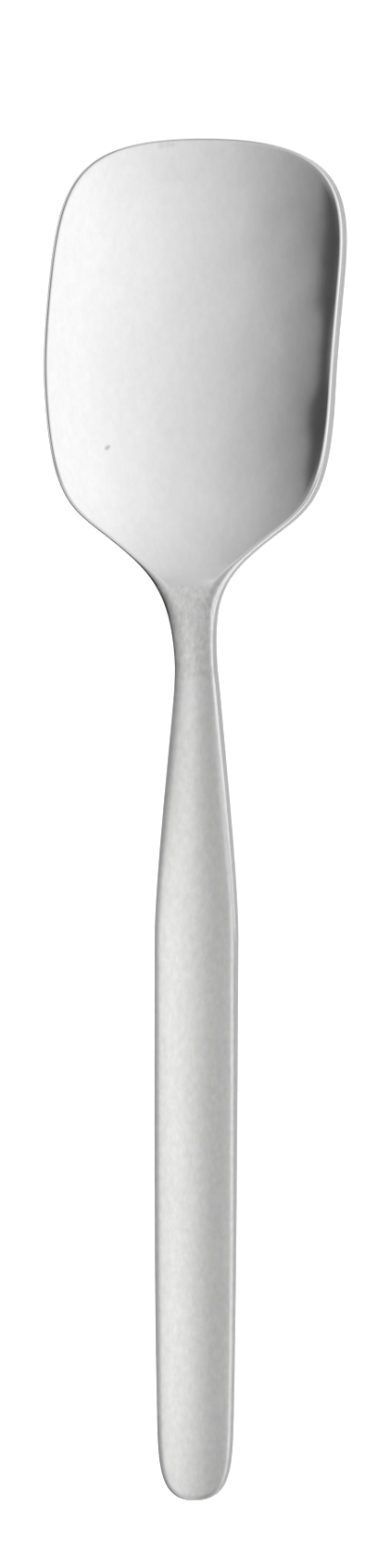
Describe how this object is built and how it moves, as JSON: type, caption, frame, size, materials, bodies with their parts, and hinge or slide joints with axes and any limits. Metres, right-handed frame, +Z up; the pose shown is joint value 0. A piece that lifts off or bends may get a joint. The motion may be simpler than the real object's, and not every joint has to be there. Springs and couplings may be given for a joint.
{
  "type": "ice cream spoon",
  "caption": "Flat-fronted steel spoon with a broad squared bowl, narrow neck and slim crowned handle, for scooping and eating ice cream.",
  "frame": {"origin": "on the line of the handle, halfway along the spoon, on the surface it lies on", "axes": "+Y along the spoon towards the front edge of the bowl, +Z up out of the bowl's hollow, +X to the right seen from above with the bowl ahead"},
  "size_m": [0.0319, 0.145, 0.0074],
  "materials": {
    "polished_steel": "polished stainless steel, bright with soft reflections",
    "satin_steel": "satin stainless steel, fine even grain"
  },
  "bodies": {
    "root": {"bowl": "polished_steel", "neck": "satin_steel", "handle": "satin_steel"}
  },
  "joints": []
}
